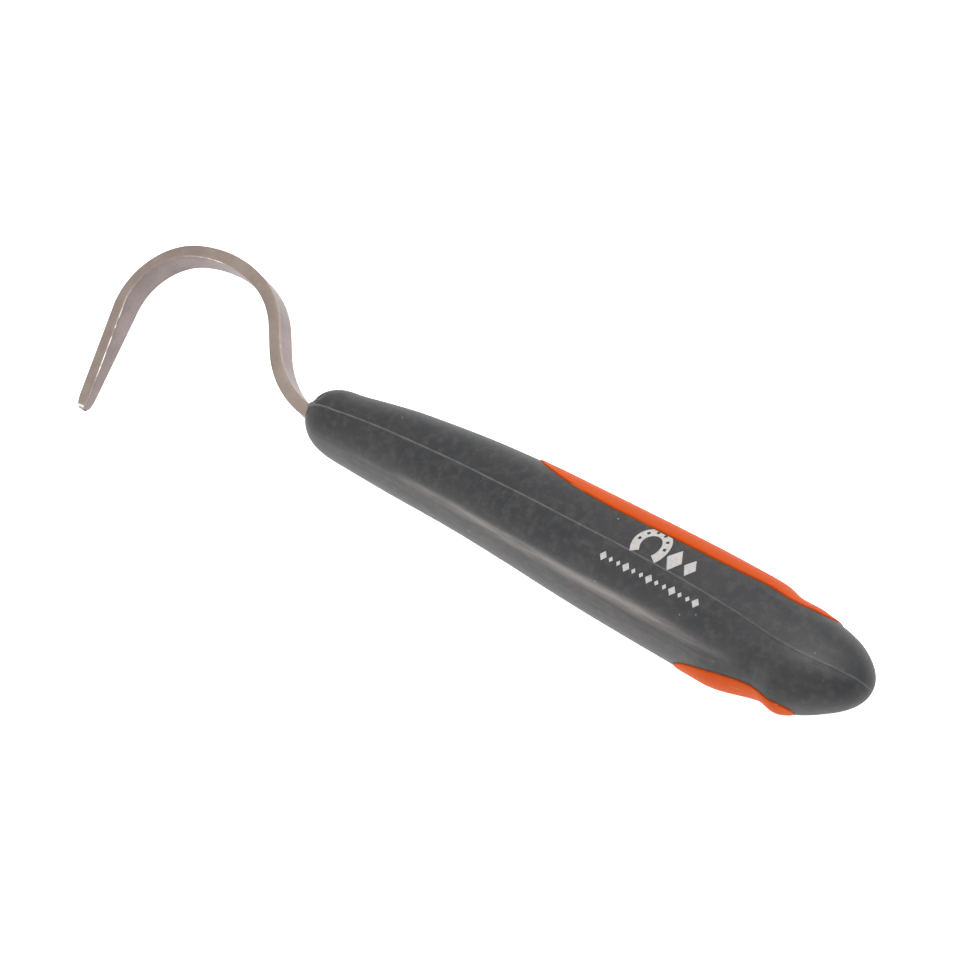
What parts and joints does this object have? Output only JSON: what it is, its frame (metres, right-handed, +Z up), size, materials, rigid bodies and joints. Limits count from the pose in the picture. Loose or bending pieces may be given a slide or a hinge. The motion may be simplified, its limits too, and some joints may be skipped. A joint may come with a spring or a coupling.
{
  "type": "hoof pick",
  "caption": "Hoof pick: a bent flat steel bar with a scraping tip, its tang moulded into a soft two-colour handle with a finger groove.",
  "frame": {"origin": "centre of the bounding box's base, the tool lying on its side", "axes": "+X from the hook to the butt of the handle, +Y from the tip side to the spine, +Z up, across the plane of the hook"},
  "size_m": [0.2042, 0.0471, 0.0215],
  "materials": {
    "steel": "satin, worn edges",
    "core_plastic": "semi gloss",
    "soft_grip": "satin"
  },
  "bodies": {
    "root": {"hook": "steel", "core": "core_plastic", "grip": "soft_grip"}
  },
  "joints": []
}
